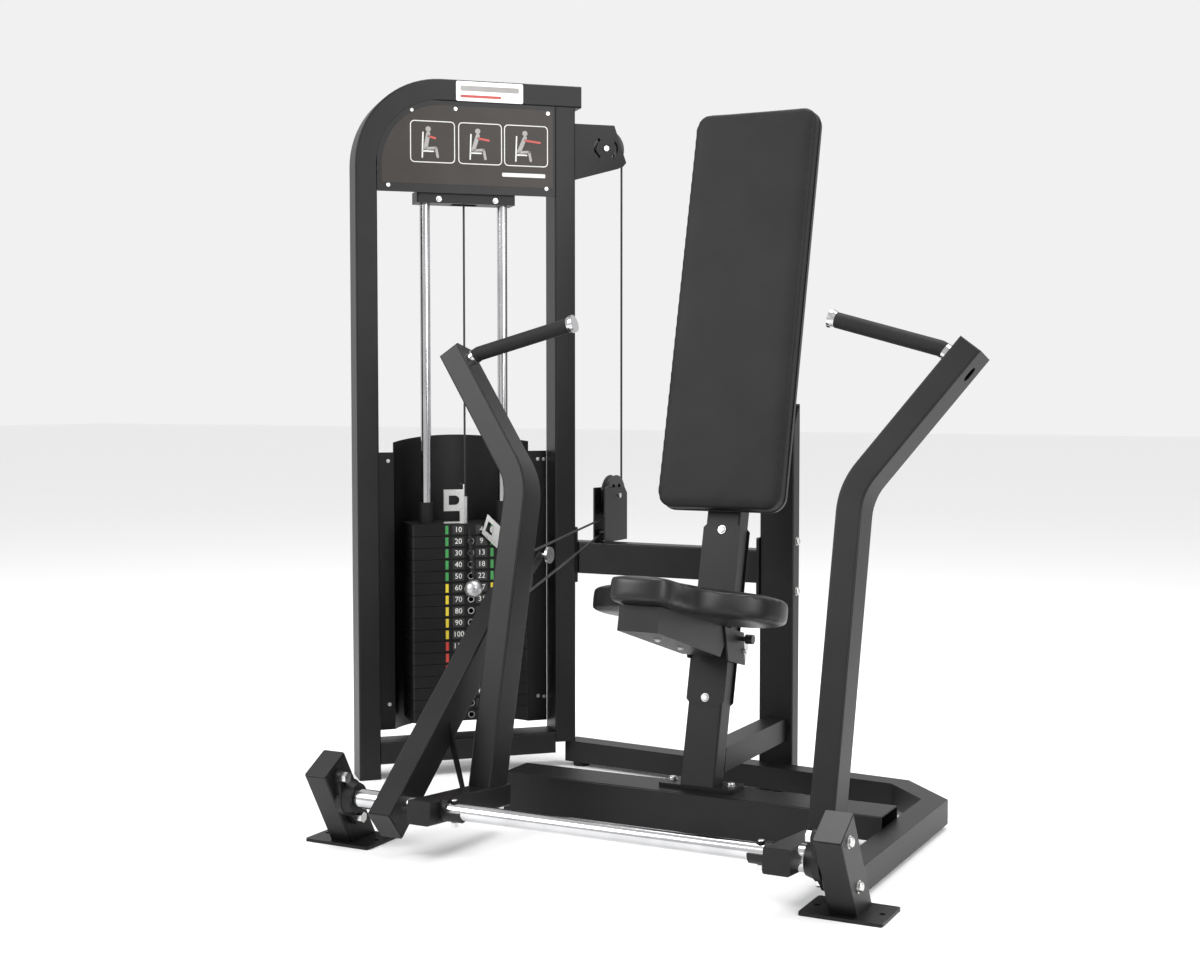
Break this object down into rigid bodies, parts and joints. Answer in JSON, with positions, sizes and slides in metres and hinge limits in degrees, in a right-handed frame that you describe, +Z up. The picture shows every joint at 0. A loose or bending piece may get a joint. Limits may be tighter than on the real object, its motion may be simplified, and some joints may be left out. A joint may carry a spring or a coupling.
{
  "type": "chest_press_machine",
  "caption": "Seated chest press machine with a diagonal weight tower, selector-pin plate stack, leaning press arms, cable drive, saddle seat and back pad.",
  "frame": {"origin": "floor level, under the middle of the whole outline", "axes": "+Z up, +Y towards the back of the machine, +X towards the end without the weight tower; the user faces -Y"},
  "size_m": [1.5032, 1.0422, 1.607],
  "materials": {
    "black_frame": "satin",
    "bright_zinc": "satin",
    "bright_chrome": "polished",
    "stack_iron": "satin",
    "black_rubber": "matte",
    "black_plastic": "matte",
    "black_vinyl": "satin",
    "steel_cable": "satin"
  },
  "bodies": {
    "frame": {"back_pad": "black_vinyl", "base_feet": "black_rubber", "bearing_fasteners": "bright_zinc", "corner_beam": "black_frame", "crossbeam": "black_frame", "flange_bearing_left": "black_frame", "flange_bearing_right": "black_frame", "foot_plates": "black_frame", "frame_bolts": "bright_zinc", "front_cross_tube": "black_frame", "guide_rods": "bright_chrome", "kick_plate": "black_frame", "lever_cable": "steel_cable", "mast": "black_frame", "mast_brace": "black_frame", "mast_covers": "black_frame", "pivot_caps": "black_plastic", "pivot_post_left": "black_frame", "pivot_post_right": "black_frame", "placard": "black_frame", "pulley_axles": "bright_zinc", "pulley_block": "black_frame", "rear_beam": "black_frame", "rear_post": "black_frame", "rear_shroud": "black_frame", "resting_plates": "stack_iron", "rod_top_bracket": "black_frame", "side_beam": "black_frame", "small_screws": "bright_zinc", "stack_bumpers": "black_rubber", "top_pulley_brackets": "black_frame", "tower_bent_tube": "black_frame", "tower_bottom_beam": "black_frame", "tower_cable": "steel_cable", "tower_rear_upright": "black_frame"},
    "press_arms": {"press_arm_left": "black_frame", "press_arm_right": "black_frame", "torque_bar": "bright_chrome", "bar_cradles": "black_frame", "handle_left": "bright_chrome", "handle_right": "bright_chrome", "hand_grips": "black_rubber", "handle_caps": "bright_chrome", "lever": "black_frame", "lever_axle": "bright_zinc", "pivot_shafts": "bright_chrome"},
    "stack": {"top_plate": "stack_iron", "selector_rod": "bright_chrome", "lifted_plates": "stack_iron", "guide_bushes": "black_rubber", "cable_yoke": "bright_zinc", "stack_cable": "steel_cable"},
    "seat": {"seat_pad": "black_vinyl", "seat_bracket": "black_frame"},
    "selector_pin": {"selector_pin": "bright_zinc"},
    "seat_pin": {"seat_pin": "black_plastic"},
    "front_top_pulley": {"front_top_pulley": "black_plastic"},
    "rear_top_pulley": {"rear_top_pulley": "black_plastic"},
    "block_pulley": {"block_pulley": "black_plastic"},
    "lever_pulley": {"lever_pulley": "black_plastic"}
  },
  "joints": [
    {"name": "press_swing", "type": "hinge", "parent": "frame", "child": "press_arms", "pos_m": [0.1673, -0.45397, 0.101], "axis": [1, 0, 0], "range_deg": [0, 33], "deforming": ["lever_cable"]},
    {"name": "stack_lift", "type": "slide", "parent": "frame", "child": "stack", "axis": [0, 0, 1], "range_m": [0, 0.575], "deforming": ["stack_cable"]},
    {"name": "selector_pin_pull", "type": "slide", "parent": "stack", "child": "selector_pin", "axis": [0.7071, -0.7071, 0], "range_m": [0, 0.08]},
    {"name": "front_top_pulley_turn", "type": "hinge", "parent": "frame", "child": "front_top_pulley", "pos_m": [-0.51002, 0.26228, 1.469], "axis": [-0.7071, 0.7071, 0], "range_deg": [0, 748]},
    {"name": "rear_top_pulley_turn", "type": "hinge", "parent": "frame", "child": "rear_top_pulley", "pos_m": [-0.2993, 0.47299, 1.469], "axis": [-0.7071, 0.7071, 0], "range_deg": [0, 748]},
    {"name": "block_pulley_turn", "type": "hinge", "parent": "frame", "child": "block_pulley", "pos_m": [-0.2678, 0.45995, 0.646], "axis": [1, 0, 0], "range_deg": [-748, 0]},
    {"name": "lever_pulley_turn", "type": "hinge", "parent": "press_arms", "child": "lever_pulley", "pos_m": [-0.2678, 0.00448, 0.49117], "axis": [1, 0, 0], "range_deg": [0, 340]},
    {"name": "seat_slide", "type": "slide", "parent": "frame", "child": "seat", "axis": [0, 0.2419, 0.9703], "range_m": [-0.08, 0.1]},
    {"name": "seat_pin_pull", "type": "slide", "parent": "seat", "child": "seat_pin", "axis": [1, 0, 0], "range_m": [0, 0.012], "stiffness_N_per_m": 400}
  ],
  "couplings": [
    {"joint": "stack_lift", "follows": "press_swing", "m_per_rad": 0.9831},
    {"joint": "front_top_pulley_turn", "follows": "press_swing", "ratio": 22.067},
    {"joint": "rear_top_pulley_turn", "follows": "press_swing", "ratio": 22.067},
    {"joint": "block_pulley_turn", "follows": "press_swing", "ratio": -22.067},
    {"joint": "lever_pulley_turn", "follows": "press_swing", "ratio": 9.7}
  ]
}
